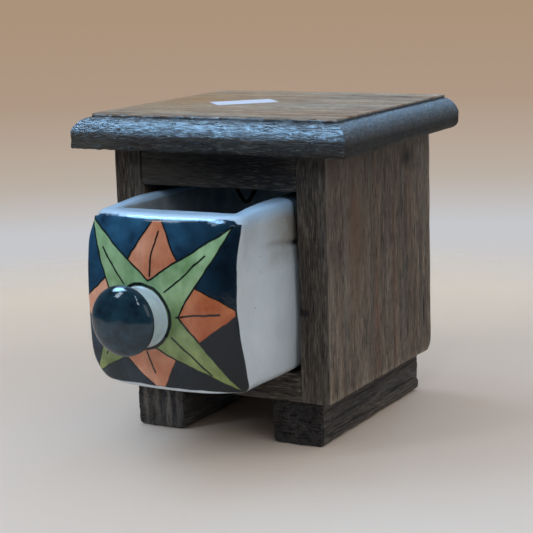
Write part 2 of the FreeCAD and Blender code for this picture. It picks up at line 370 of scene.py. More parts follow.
# What all the boards share. Noise sizes are in mm, the first along the grain. The fibres are drawn
# two or three times as coarse as real ones, so that they show. A span says between which levels of
# its noise a coat comes on. The varnish comes on between two heights over the board's underside.
woodLook = {
    "shift": (0, 0, 0),
    "bend": ((60, 14, 14), 2, 0.5),
    "bendBy": (0, 4, 4),
    "figure": ((50, 5, 5), 3, 0.6),
    "fibre": ((9, 0.55, 0.55), 4, 0.7),
    "pore": ((5, 0.42, 0.42), 2, 0.6),
    "band": ((120, 9, 9), 2, 0.5),
    "patch": ((9, 1.1, 1.1), 4, 0.7),
    "blotch": ((14, 14, 14), 4, 0.65),
    "grit": ((1.2, 0.6, 0.6), 3, 0.7),
    "fibreShare": 0.6,
    "tonePlaces": (0.36, 0.5, 0.65), "dark": "#352b23", "middle": "#6c5f52", "light": "#9c907f",
    "bandSpan": (0.5, 0.68), "pitSpan": (0.44, 0.34), "stainSpan": (0.52, 0.7),
    "rubSpan": (0.46, 0.62), "scratchGlintSpan": (0.55, 0.68),
    "warm": ("#8a5a38", 0.7),
    "grey": ("#6a6b67", 0.5),
    "pit": ("#16120f", 0.8),
    "stain": ("#3b342e", 0.4),
    "rubbed": ("#a89f91", 0.55, 2.0),
    # deep zones: partly stain, partly painted shade
    "deep": [(1, -1, 1.0)],
    "deepSoft": 0.5,
    "deepTint": "#a0a0a0",
    # pale specks: partly scratches, partly painted glints
    "scratchGlint": ("#8c8578", 0.3),
    "marks": [],
    "roughness": (0.5, 0.75),
    "specular": 0.4,
    "varnish": (0.0, 1.0, 0.0),
    "pitShare": -1.2,
    "gritShare": 0.0,
    "relief": 0.2,
}


# Top board: its moulding is stepped up from the fascia, round three sides
topBoard = {
    "mouldingWidth": 6.3 * mm,
    "quirkDepth": 1.4 * mm,
    "quirkLedge": 0.9 * mm,
    "ovoloHeight": 6.0 * mm,
    "ovoloMiddle": (0.3, 0.57),
    "ovoloSteps": 8,
    "lowerRound": 1.2 * mm,
    "cornerRound": 0.7 * mm,
    "upperRound": 0.35 * mm,
    "rightRound": (1.2 * mm, 4.2 * mm),
    "look": {
        **woodLook,
        "dark": "#67564a", "middle": "#a39078", "light": "#c9b9a1", "figure": ((70, 5, 5), 3, 0.6),
        "warm": ("#a8743f", 0.7), "grey": ("#aaa497", 0.45), "stain": ("#54483c", 0.85),
        "blotch": ((26, 5, 5), 4, 0.65), "pit": ("#3a2f26", 0.85),
        # the moulding is tinted darker: partly stain, partly painted shade
        "rubbed": ("#a89f91", 0.35, 0.9), "deep": [(2, -1, 12.9)], "deepTint": "#494c52",
        "scratchGlint": ("#8f9490", 0.3), "grit": ((2.2, 0.9, 0.9), 3, 0.7), "gritShare": 2.0,
        "marks": [
            ((-42, 35, 124), (24, 26, 9), 3.0, "#a67b4c"),
            ((-50, -30, 112.5), (12, 4, 3), 1.8, "#45423b"),
        ],
        "specular": 0.35, "varnish": (4.5, 7.5, 1.0),
    },
}


# Rounds the lower edge of the right end, more and more towards the back
def roundOff(piece, low, high):
    start, end = topBoard["rightRound"]
    for vertex in piece.data.vertices:
        x, y, z = vertex.co
        radius = start + (end - start) * ramp((y - low.y) / (high.y - low.y))
        off = Vector((x - (high.x - radius), low.z + radius - z))
        if min(off) > 0 and off.length > radius:
            off *= radius / off.length
            vertex.co.x = high.x - radius + off.x
            vertex.co.z = low.z + radius - off.y


# Points of the arc from zero through a to b, without the first
def arcPoints(a, b, steps):
    (ax, ay), (bx, by) = a, b
    double = 2 * (ax * by - ay * bx)
    x = ((ax ** 2 + ay ** 2) * by - (bx ** 2 + by ** 2) * ay) / double
    y = ((bx ** 2 + by ** 2) * ax - (ax ** 2 + ay ** 2) * bx) / double
    start = math.atan2(-y, -x) % math.tau
    end = math.atan2(by - y, bx - x) % math.tau
    radius = math.hypot(x, y)
    turns = [start + (end - start) * i / steps for i in range(1, steps + 1)]
    return [(x + radius * math.cos(turn), y + radius * math.sin(turn)) for turn in turns]


def mouldingPoints():
    width = topBoard["mouldingWidth"] - topBoard["quirkLedge"]
    height = topBoard["ovoloHeight"]
    middle = width * topBoard["ovoloMiddle"][0], height * topBoard["ovoloMiddle"][1]
    points = arcPoints(middle, (width, height), topBoard["ovoloSteps"])
    points.append((topBoard["mouldingWidth"], height))
    points.append((topBoard["mouldingWidth"], height + topBoard["quirkDepth"]))
    return points


def makeTopBoard():
    low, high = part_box("top_board")
    foot = high.z - topBoard["quirkDepth"] - topBoard["ovoloHeight"]
    piece = startBox("topBoard", low, (high.x, high.y, foot))
    editing(True)
    pick(piece, "FACE", lambda face: face.normal.z > 0.9)
    inset, rise = 0.0, 0.0
    for nextInset, nextRise in mouldingPoints():
        bpy.ops.mesh.extrude_region_move(TRANSFORM_OT_translate={"value": (0, 0, nextRise - rise)})
        wide = (high.x - nextInset) / (high.x - inset)
        deep = (high.y - low.y - nextInset) / (high.y - low.y - inset)
        bpy.ops.transform.resize(value=(wide, deep, 1), center_override=(0, high.y, foot + nextRise))
        inset, rise = nextInset, nextRise
    bpy.ops.mesh.select_all(action="SELECT")
    bpy.ops.mesh.remove_doubles(threshold=0.001 * mm)
    roundEdges(piece, topBoard["lowerRound"], 3, lambda e: near(middleOf(e).z, low.z))
    roundEdges(piece, topBoard["cornerRound"], 2, lambda e: runsAlong(e, 2) and middleOf(e).z < foot)
    roundEdges(piece, topBoard["upperRound"], 2, lambda e: isSharp(e) and near(middleOf(e).z, high.z))
    cutAcross(0, 0.8 * mm, low.x + 1 * mm, high.x - 1 * mm)
    cutAcross(1, 1.2 * mm, low.y + 7 * mm, high.y - 1 * mm)
    cutAcross(2, 0.8 * mm, low.z + 1.2 * mm, foot - 0.4 * mm)
    editing(False)
    roundOff(piece, low, high)

    # The front moulding is torn and knocked, the ends are smooth
    front = weigh(piece, "front", lambda p: min(low.y + 7.5 * mm - p.y, high.x - p.x - p.y + low.y) / mm)
    under = weigh(piece, "under", lambda p: (low.z + 4 * mm - p.z) / (3 * mm) if p.y < low.y + 4 * mm else 0)
    roughen(piece, 0.3, (14, 9, 5), 1)
    roughen(piece, 0.9, (2.8, 1.3, 1.2), 2, front, 3)
    roughen(piece, 0.9, (8, 4, 4), 3, under)
    pressFlat(piece, low, high)
    material = stainedWood("stained mango wood, top", low, high, "X", topBoard["look"])
    finished(piece, "cabinet", material, ["top_board"])


# The plain boards: size from the frame, edges rounded, then fine relief along the grain and
# broader wear across it. Spacing, lumps, relief and wear are in mm.
sidePanel = {
    "grain": "Z", "slot": "stained_side_wood", "heel": 5.0 * mm, "spacing": (1.1, 0.7, 3.0),
    "lump": (0.9, 0.9, 14.0), "relief": 0.35, "wear": 0.5,
}
boards = {
    "sidePanelRight": {
        **sidePanel, "node": "side_panel_right", "seed": 11,
        "look": {
            **woodLook, "shift": (0, 3, 0),
            "marks": [
                ((45, 69.0, 35.5), (3, 0.8, 6), 0.6, "#14110f"),
                ((34.8, -20, 52), (2.4, 2, 1.6), 0.8, "#120f0d"),
                ((45, 53, 101), (2, 5, 3.5), 1.4, "#2c2620"),
                ((45, 5, 80), (2, 5, 20), 2.6, "#6a4f3a"),
            ],
        },
    },
    "sidePanelLeft": {
        **sidePanel, "node": "side_panel_left", "seed": 12, "look": {**woodLook, "shift": (0, 31, 8)},
    },
    "frontRail": {
        "node": "front_rail", "grain": "X", "slot": "dark_rail_wood", "seed": 13, "heel": 0,
        "spacing": (2.4, 1.3, 0.6), "lump": (12.0, 1.0, 0.9), "relief": 0.4, "wear": 0.5,
        "look": {
            **woodLook, "dark": "#171413", "middle": "#2b2725", "light": "#433d38", "warm": ("#4a3626", 0.7),
            "grey": ("#3a3a3c", 0.45), "stain": ("#1c1a19", 0.4), "rubbed": ("#6a645b", 0.5, 1.6),
            "deepTint": "#f0f0f0", "marks": [((-22, -19.6, 102), (14, 2, 6), 2.4, "#453d33")],
        },
    },
    "bottomBoard": {
        "node": "bottom_board", "grain": "X", "slot": "stained_side_wood", "seed": 14, "heel": 0,
        "spacing": (2.4, 1.5, 0.8), "lump": (7.0, 1.2, 1.0), "relief": 0.5, "wear": 0.6,
        "look": {
            **woodLook, "dark": "#2a2320", "middle": "#473d36", "light": "#6b6055", "deepTint": "#c8c8c8",
        },
    },
    "backPanel": {
        **sidePanel, "node": "back_panel", "seed": 15, "heel": 0, "spacing": (0.9, 1.5, 4.0),
        "relief": 0.3, "wear": 0.4,
        "look": {**woodLook, "shift": (0, 57, 4)},
    },
}
arris = 0.5 * mm


def makeBoard(name, spec):
    low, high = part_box(spec["node"])
    piece = startBox(name, low, high)
    editing(True)
    if spec["heel"]:
        roundEdges(
            piece, spec["heel"], 8, lambda e: near(middleOf(e).y, high.y) and near(middleOf(e).z, low.z),
        )
    roundEdges(piece, arris, 2, isSharp)
    room = 2 * arris
    for axis in range(3):
        cutAcross(axis, spec["spacing"][axis] * mm, low[axis] + room, high[axis] - room)
    editing(False)
    roughen(piece, spec["relief"], spec["lump"], spec["seed"], detail=1)
    broad = [7 * size if size < 2 else size for size in spec["lump"]]
    roughen(piece, spec["wear"], broad, spec["seed"] + 0.5)
    pressFlat(piece, low, high)
    material = stainedWood("stained mango wood, " + name, low, high, spec["grain"], spec["look"])
    finished(piece, "cabinet", material, [spec["node"]])


# Runner feet: sawn ends, and a saw line along the sides. A stain's share over 1 makes it come on
# full before the end of its span. The cuts are a spacing and how far they stay from both ends.
feet = {
    "cuts": [(0.45 * mm, 2.6 * mm, 2.6 * mm), (1.8 * mm, 1.2 * mm, 1.2 * mm), (0.5 * mm, 2.6 * mm, 1.2 * mm)],
    "lowerRound": 2.0 * mm,
    "arris": 0.5 * mm,
    "sawLine": 4.3 * mm,
    "sawWidth": 0.25 * mm,
    "sawDepth": 0.9 * mm,
    # pale ridges: partly the wood's tone, partly painted highlight on the ridges
    "ridges": [(0.16, "#7d766c"), (0.42, "#6d675f"), (0.66, "#857e75"), (0.88, "#6a645d")],
    "ridgeSize": (1.1, 2, 9),
    "ridgeMiddle": 7.5,
    "ridgeSoft": 1.2,
    "look": {
        **woodLook,
        "dark": "#2a2623", "middle": "#544f4a", "light": "#827a71", "warm": ("#5f4a38", 0.6),
        "grey": ("#4b4b50", 0.5), "stain": ("#141318", 2.4), "rubbed": ("#827b72", 0.5, 1.6),
        "deep": [(1, -1, 1.4), (1, 1, 1.4)], "scratchGlint": ("#8b8d91", 0.25), "relief": 0.4, "gritShare": -9.0,
    },
}


# The saw marks are the lumps on the front end, in mm along X, Y and Z. Pale ridges stand between
# them, partly the wood's paler tone and partly painted highlight on the ridges, each a share of the
# foot's width, with its colour.
def makeFoot(name, node, seed, sawMarks, endTint, ridges):
    low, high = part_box(node)
    piece = startBox(name, low, high)
    editing(True)
    roundEdges(piece, feet["lowerRound"], 4, lambda e: runsAlong(e, 1) and near(middleOf(e).z, low.z))
    roundEdges(piece, feet["arris"], 2, isSharp)
    for axis, (spacing, below, over) in enumerate(feet["cuts"]):
        cutAcross(axis, spacing, low[axis] + below, high[axis] - over)
    line = high.z - feet["sawLine"]
    for side in (-1, 0, 1):
        cutAcross(2, 1, line + side * feet["sawWidth"], line + side * feet["sawWidth"])
    for side in (low.x, high.x):
        pick(piece, "VERT", lambda v: near(v.co.z, line, 0.02 * mm) and near(v.co.x, side, 0.3 * mm))
        inward = math.copysign(feet["sawDepth"], (low.x + high.x) / 2 - side)
        bpy.ops.transform.translate(value=(inward, 0, 0))
    editing(False)
    front = weigh(piece, "front", lambda p: 1.0 if p.y < low.y + 1 * mm else 0.0)
    back = weigh(piece, "back", lambda p: 1.0 if p.y > high.y - 1 * mm else 0.0)
    roughen(piece, 0.4, (1.6, 14, 1.0), seed)
    roughen(piece, 2.6, sawMarks, seed + 0.5, front, 3, 0.75)
    roughen(piece, 1.8, (9, 3, 3.2), seed + 0.6, back)
    roughen(piece, 0.9, (7, 10, 5), seed + 0.7)
    pressFlat(piece, low, high)
    lumps = (sawMarks[0], 40, sawMarks[2]), 4, 0.65
    marks = []
    # Pale ridges: partly wood tone, partly painted highlight
    for share, code in ridges:
        place = (low.x + (high.x - low.x) * share) / mm, low.y / mm, feet["ridgeMiddle"]
        marks.append((place, feet["ridgeSize"], feet["ridgeSoft"], code))
    look = {**feet["look"], "blotch": lumps, "grit": lumps, "deepTint": endTint, "marks": marks}
    material = stainedWood("dark stained wood, " + name, low, high, "Y", look)
    finished(piece, "cabinet", material, [node])


# The ceramic drawer: a thick slip-cast tub with a pillowed face. What its hand made shape does is
# in the second half: where it dips, swells, leans and is dented. A run is where behind the front
# something starts, and over what length it comes on.
drawer = {
    "bulge": 8.0 * mm,
    "wall": 7.0 * mm,
    "floor": 7.0 * mm,
    "leftKeel": 5.2 * mm,
    "rightKeel": 3.4 * mm,
    "rim": 3.0 * mm,
    "faceEdge": 1.2 * mm,
    "backEdge": 2.2 * mm,
    "pocketCorner": 4.0 * mm,
    "grid": 1.6 * mm,
    "wobble": 0.4,  # in mm
    "rimDip": 1.3 * mm,
    "dipLength": 28.0 * mm,
    "lipRun": (0.2 * mm, 2.4 * mm),
    "leftLip": 2.1 * mm,
    "lowerLip": 1.1 * mm,
    "curveLength": 16 * mm,
    "topLean": -0.9 * mm,
    "lowLean": 1.1 * mm,
    "waist": 0.6 * mm,
    "crown": 1.1 * mm,
    "belly": 1.8 * mm,
    "skin": (4.5 * mm, 3.5 * mm),
    "flare": 3.0 * mm,
    "flareRun": (4 * mm, 26 * mm),
    "shoulder": 1.6 * mm,
    "shoulderFrom": 35.0 * mm,
    "shoulderSlant": 4.5 * mm,
    "shoulderLength": 3 * mm,
    "dent": 1.3 * mm,
    "dentRun": (12 * mm, 14 * mm),
    "dentWidth": 1.1 * mm,
    "dentPlace": (15 * mm, 50.8 * mm),
    "dentSlope": 0.1,
    "ripple": 0.9 * mm,
    "rippleAt": (0.8, 0.88),
}


def drawerBox():
    low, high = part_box("drawer_tub")
    return Vector((low.x, low.y + drawer["bulge"], low.z)), high


# The face swells as part of a ball that meets its corners: the ball's radius
def faceBall():
    low, high = drawerBox()
    halfDiagonal = math.hypot(high.x - low.x, high.z - low.z) / 2
    return (halfDiagonal ** 2 + drawer["bulge"] ** 2) / (2 * drawer["bulge"])


# The uneven shape of the casting. The lips swell only in front of the cabinet's own front.
def settle(point, low, high):
    x, y, z = point
    middle = (low + high) / 2
    aside = (x - middle.x) / (high.x - middle.x)
    above = (z - middle.z) / (high.z - middle.z)
    behind = y - low.y
    start, length = drawer["lipRun"]
    ahead = ramp((-behind - start) / length)
    z -= drawer["rimDip"] * ramp(1 - behind / drawer["dipLength"]) * ramp((above - 0.3) / 0.6)
    if above < 0:
        z -= drawer["lowerLip"] * ahead * above ** 2
    if aside < 0:
        swell = 0.7 + 0.3 * ramp((0.96 - above) / 0.3) + 0.4 * ramp(-above)
        x -= drawer["leftLip"] * ahead * aside ** 2 * swell
        return x, y, z
    lean = (drawer["topLean"] * (1 + above) + drawer["lowLean"] * (1 - above)) / 2
    curve = drawer["belly"] * ramp(0.1 - above) + drawer["crown"] * ramp((above - 0.45) / 0.45)
    curve -= drawer["waist"]
    x += (lean + (curve - lean) * ramp(1 - behind / drawer["curveLength"])) * aside ** 2
    reach, length = drawer["skin"]
    outside = ramp((point.x - high.x + reach) / length)
    start, length = drawer["flareRun"]
    x += drawer["flare"] * ramp((behind - start) / length) * outside * ramp((above + 1.5) / 1.4)
    start = drawer["shoulderFrom"] + drawer["shoulderSlant"] * (1 - above) / 2
    bend = ramp((behind - start) / drawer["shoulderLength"]) * outside
    x -= drawer["shoulder"] * bend * ramp((above + 1) / 0.8)
    place, height = drawer["dentPlace"]
    grooveHeight = low.z + height - drawer["dentSlope"] * (behind - place)
    groove = math.exp(-((point.z - grooveHeight) / drawer["dentWidth"]) ** 2)
    start, length = drawer["dentRun"]
    x -= drawer["dent"] * groove * ramp((behind - start) / length) * outside
    if behind < 0:
        off = math.hypot((aside - drawer["rippleAt"][0]) * 7, (above - drawer["rippleAt"][1]) * 14)
        y -= drawer["ripple"] * math.exp(-off ** 2)
    return x, y, z


def makeDrawerTub():
    low, high = drawerBox()
    middle = (low + high) / 2
    piece = startBox("ceramicDrawer", low, high)
    editing(True)
    for side, radius in ((low.x, drawer["leftKeel"]), (high.x, drawer["rightKeel"])):
        keel = Vector((side, middle.y, low.z))
        roundEdges(piece, radius, 8, lambda e: runsAlong(e, 1) and near((middleOf(e) - keel).length, 0))
    pick(piece, "FACE", lambda face: face.normal.z > 0.9)
    bpy.ops.mesh.inset(thickness=drawer["wall"])
    depth = high.z - low.z - drawer["floor"]
    bpy.ops.mesh.extrude_region_move(TRANSFORM_OT_translate={"value": (0, 0, -depth)})
    room = high - middle - Vector((drawer["wall"],) * 3) * 0.9

    def inPocket(edge):
        off = middleOf(edge) - middle
        return abs(off.x) < room.x and abs(off.y) < room.y

    roundEdges(piece, drawer["pocketCorner"], 6, lambda e: runsAlong(e, 2) and inPocket(e))
    roundEdges(
        piece, drawer["pocketCorner"] / 2, 4,
        lambda e: isSharp(e) and inPocket(e) and near(middleOf(e).z, high.z - depth),
    )
    roundEdges(piece, drawer["rim"], 6, lambda e: isSharp(e) and near(middleOf(e).z, high.z))
    roundEdges(piece, drawer["faceEdge"], 4, lambda e: isSharp(e) and near(middleOf(e).y, low.y))
    roundEdges(piece, drawer["backEdge"], 4, lambda e: isSharp(e) and near(middleOf(e).y, high.y))
    pad = drawer["leftKeel"] + 0.3 * mm
    for axis in range(3):
        cutAcross(axis, drawer["grid"], low[axis] + pad, high[axis] - pad)
    ball = faceBall()
    mesh = bmesh.from_edit_mesh(piece.data)
    for vertex in mesh.verts:
        if vertex.co.y < low.y + 3 * mm:
            off = math.hypot(vertex.co.x - middle.x, vertex.co.z - middle.z)
            vertex.co.y -= math.sqrt(ball ** 2 - off ** 2) - (ball - drawer["bulge"])
    bmesh.update_edit_mesh(piece.data)
    editing(False)
    applied(piece, "SUBSURF", levels=1, render_levels=1)
    for vertex in piece.data.vertices:
        vertex.co = settle(vertex.co, low, high)
    roughen(piece, drawer["wobble"], (24, 22, 22), 21, level=0.8)
    finished(piece, "drawer", paintedGlaze(), ["drawer_tub"], 60)


# The knob, thrown as one turned piece: neck, swelling head and dome
knob = {
    "neckLength": 9.6 * mm,
    "baseRadius": 11.0 * mm,
    "waistRadius": 10.4 * mm,
    "domeDepth": 5.2 * mm,
    "headBack": 1.9 * mm,
    "segments": 72,
    "sink": 1.5 * mm,
    "sag": 1.0 * mm,
    "noises": {"cloud": ((5, 5, 5), 4, 0.6), "wave": ((7, 7, 7), 2, 0.5)},
    "white": [(0.3, "#b3cad4"), (0.7, "#c9dde6")],
    "navy": [(0.3, "#0e1f2a"), (0.7, "#213f4e")],
}


def knobProfile(radius):
    head = knob["neckLength"] + knob["headBack"]
    neck = knob["neckLength"]
    flare = knob["baseRadius"] - knob["waistRadius"]
    points = [(knob["baseRadius"] + 0.6 * mm, 0), (knob["baseRadius"], 0.6 * mm)]
    for i in range(1, 7):
        share = i / 6
        points.append((knob["waistRadius"] + flare * (1 - share) ** 2, 0.6 * mm + (neck - 0.6 * mm) * share))
    for i in range(1, 7):
        turn = math.radians(90 * i / 6)
        reach = head - knob["headBack"] * math.cos(turn)
        points.append((knob["waistRadius"] + (radius - knob["waistRadius"]) * math.sin(turn), reach))
    for i in range(1, 15):
        turn = math.radians(90 * i / 15)
        points.append((radius * math.cos(turn), head + knob["domeDepth"] * math.sin(turn)))
    return points


def makeKnob():
    low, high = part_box("drawer_knob")
    middle = (low + high) / 2
    radius = (high.x - low.x) / 2
    length = knob["neckLength"] + knob["headBack"] + knob["domeDepth"]
    seat = low.y + length
    deselectAll()
    bpy.ops.mesh.primitive_circle_add(
        vertices=knob["segments"], radius=knob["baseRadius"], fill_type="NGON",
        location=(middle.x, seat + knob["sink"], middle.z), rotation=(math.radians(90), 0, 0),
    )
    piece = started("ceramicKnob")
    editing(True)
    bpy.ops.mesh.select_all(action="SELECT")
    now, reached = knob["baseRadius"], -knob["sink"]
    for width, reach in knobProfile(radius):
        bpy.ops.mesh.extrude_region_move(TRANSFORM_OT_translate={"value": (0, reached - reach, 0)})
        ratio = width / now
        bpy.ops.transform.resize(value=(ratio, 1, ratio), center_override=(middle.x, seat - reach, middle.z))
        now, reached = width, reach
    bpy.ops.mesh.poke(offset=length - reached)
    bpy.ops.mesh.select_all(action="SELECT")
    bpy.ops.mesh.normals_make_consistent(inside=False)
    editing(False)
    applied(piece, "SUBSURF", levels=1, render_levels=1)
    for vertex in piece.data.vertices:  # the neck was pressed on a little low
        vertex.co.z -= knob["sag"] * ramp((vertex.co.y - seat + knob["neckLength"]) / knob["neckLength"])
    roughen(piece, 0.15, (9, 9, 9), 31, level=1)
    finished(piece, "drawer", knobGlaze(seat), ["drawer_knob"], 60)


# The ornament on the face, in mm from the middle of the face: a four-armed leaf star
# with a petal in each gap, drawn by hand and so a little uneven
star = {
    "tips": [(-31.2, 28.6), (28.6, 27.8), (30.2, -31.8), (-32.6, -31.0)],
    "notches": [(-4.2, 7.6), (7.8, -4.9), (-5.5, -15.8), (-19.5, -3.5)],
    "petalTips": [(-0.9, 32.0), (31.6, -2.2), (-2.1, -34.6), (-35.5, -3.0)],
    "petalReach": (29.0, 30.0, 32.2, 33.5),
    "shoulders": [
        ((-12.1, 15.8), (7.6, 15.4)),
        ((15.8, 6.0), (15.6, -14.0)),
        ((4.9, -22.8), (-15.1, -22.3)),
        ((-25.0, -15.5), (-23.1, 7.1)),
    ],
    "ribs": [
        ((-24.7, 18.2), (-19.6, 11.4)), ((-19.6, 11.4), (-14.7, 5.5)),
        ((-0.4, 25.0), (-2.6, 18.0)), ((-2.6, 18.0), (-3.4, 9.5)),
        ((18.3, 17.6), (11.5, 10.9)), ((11.5, 10.9), (3.0, 3.7)),
        ((23.9, -3.2), (7.0, -5.0)),
        ((4.8, -12.7), (12.4, -19.2)), ((12.4, -19.2), (19.3, -26.2)),
        ((-6.2, -19.1), (-3.8, -26.7)),
        ((-25.2, -22.4), (-22.0, -16.0)),
        ((-29.0, -3.5), (-20.0, -4.0)),
    ],
    "line": 0.34,
    "rib": 0.36,
    "soft": 0.35,
    "ring": (11.3, 12.6),
    "wander": 0.9,
    "ink": "#10181a",
}

# Its colours. For ground and leaf the first pair is for the bottom of the face and the second for
# its top, which is lighter and bluer: partly the paint's own tone, partly painted sheen of the light
# from above. For the petals the first pair is for its left and the second for its right; their paler
# left is partly their own tone and partly painted light.
glaze = {
    "ground": [("#0c1a24", "#1f323e"), ("#19344f", "#2d6084")],
    "leaf": [("#6b7642", "#929d58"), ("#77a676", "#a6d3ac")],
    "petal": [("#da9473", "#ecb499"), ("#a4502b", "#bd7048")],
    "clouds": (0.35, 0.65),
    # painted shade: how far the ground darkens towards the right and the bottom of the face
    "shade": ("#03080f", 0.85),
    # painted highlight: a bluer sheen towards the top of the rim and walls
    "rimSheen": ("#a3cff5", 0.75),
    "rimSheenDepth": 5.0,
    "white": ("#c0cbd2", "#d0dae0"),
    "speck": ("#6f665c", 0.5),
    # painted shade: a browner tint on the upper rear of the right wall
    "warmShade": "#80705a",
    "warmShadeSpans": ((20, 29), (12, 32), (8, 20)),
    # painted shade: the inside is a greyer white than the outside
    "inside": ("#87929b", "#a1acb3"),
    "insideEdge": (1.4, 1.6),
    "stroke": ("#10181c", 0.15),
    "foldWidth": 1.6,
    "noises": {
        "waver": ((8, 8, 8), 2, 0.5),
        "cloud": ((10, 10, 10), 3, 0.5),
        "stroke": ((1.6, 4, 6), 3, 0.6),
        "broad": ((24, 24, 24), 3, 0.5),
        "speck": ((1.3, 1.3, 1.3), 1, 0.5),
        "edge": ((8, 8, 8), 2, 0.5),
        "dimple": ((4.5, 4.5, 4.5), 3, 0.5),
    },
}


# Distance in mm to the right of the line from a to b, seen from the front
def rightOf(add, coords, a, b):
    a, b = Vector(a), Vector(b)
    run = (b - a).normalized()
    across = add("VectorMath", (coords, (run.y, 0, -run.x)), out="Value", operation="DOT_PRODUCT")
    return add("Math", (across, a.x * run.y - a.y * run.x), operation="SUBTRACT")


def ribDistance(add, coords, a, b):
    start = Vector((a[0], 0, a[1]))
    run = Vector((b[0], 0, b[1])) - start
    off = add("VectorMath", (coords, start), operation="SUBTRACT")
    share = add("VectorMath", (off, run / run.length_squared), out="Value", operation="DOT_PRODUCT")
    share = add("Math", (share, 0.0), operation="ADD", use_clamp=True)
    off = add("VectorMath", (share, -run, off), operation="MULTIPLY_ADD")
    return add("VectorMath", (off,), out="Value", operation="LENGTH")


# The ornament's own colours over the whole face
def paintedStar(add, flat, noise, middle):
    shift = add("VectorMath", (noise["waver"].node.outputs["Color"], (0.5, 0.5, 0.5)), operation="SUBTRACT")
    wander = (2 * star["wander"], 0, 2 * star["wander"])
    drawn = add("VectorMath", (shift, wander, flat), operation="MULTIPLY_ADD")
    tips, notches = star["tips"], star["notches"]
    armSides, arms, inner = [], [], []
    for k in range(4):
        before, after = notches[k - 1], notches[k]
        sides = rightOf(add, drawn, before, tips[k]), rightOf(add, drawn, tips[k], after)
        base = rightOf(add, drawn, after, before)
        armSides.append(sides)
        arms.append(extreme(add, "MINIMUM", [*sides, add("Math", (base, 3.0), operation="ADD")]))
        inner.append(add("Math", (base, -1.0), operation="MULTIPLY"))
    green = extreme(add, "MAXIMUM", [*arms, extreme(add, "MINIMUM", inner)])
    petals = []
    for k in range(4):
        first, second = star["shoulders"][k]
        inwards = ((0, 0, -1), (-1, 0, 0), (0, 0, 1), (1, 0, 0))[k]
        reach = add("VectorMath", (drawn, inwards), out="Value", operation="DOT_PRODUCT")
        petals.append(extreme(add, "MINIMUM", [
            rightOf(add, drawn, first, star["petalTips"][k]),
            rightOf(add, drawn, star["petalTips"][k], second),
            add("Math", (reach, star["petalReach"][k]), operation="ADD"),
            add("Math", (armSides[k][1], -1.0), operation="MULTIPLY"),
            add("Math", (armSides[(k + 1) % 4][0], -1.0), operation="MULTIPLY"),
        ]))
    petal = extreme(add, "MAXIMUM", petals)

    x, _, z = add("SeparateXYZ", (flat,)).node.outputs
    painted = {}
    # Ground and leaves lighter and bluer to the top, petals paler to the left: partly their own tones, partly
    # painted light
    for part, source, span in (("ground", z, (-30, 30)), ("leaf", z, (-30, 30)), ("petal", x, (-20, 20))):
        first, second = [
            add("ValToRGB", (noise["cloud"],), stops=zip(glaze["clouds"], codes)) for codes in glaze[part]
        ]
        painted[part] = coated(add, first, [(source, span, second, 1.0)])
    # Painted shade on the ground, darker towards the right and the bottom
    shade = add("Math", (z, -0.2, x), operation="MULTIPLY_ADD")
    soft = around(star["soft"])
    coats = [(shade, (-4, 24), *glaze["shade"])]
    for part, distance in (("petal", petal), ("leaf", green)):
        line = add("Math", (distance,), operation="ABSOLUTE")
        line = add("Math", (star["line"], line), operation="SUBTRACT")
        coats += [(distance, soft, painted[part], 1.0), (line, soft, star["ink"], 1.0)]
    rib = extreme(add, "MINIMUM", [ribDistance(add, drawn, a, b) for a, b in star["ribs"]])
    rib = add("Math", (star["rib"], rib), operation="SUBTRACT")
    knobLow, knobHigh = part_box("drawer_knob")
    x, _, z = ((knobLow + knobHigh) / 2 - middle) / mm
    ring = add("VectorMath", (drawn, (x, 0, z - knob["sag"] / mm)), out="Value", operation="DISTANCE")
    ringIn, ringOut = star["ring"]
    ring = add("Math", (ring, (ringIn + ringOut) / 2), operation="SUBTRACT")
    ring = add("Math", (ring,), operation="ABSOLUTE")
    ring = add("Math", ((ringOut - ringIn) / 2, ring), operation="SUBTRACT")
    coats += [(line, soft, star["ink"], 1.0) for line in (rib, ring)]
    coats.append((noise["stroke"], (0.45, 0.75), *glaze["stroke"]))
    return coated(add, painted["ground"], coats)


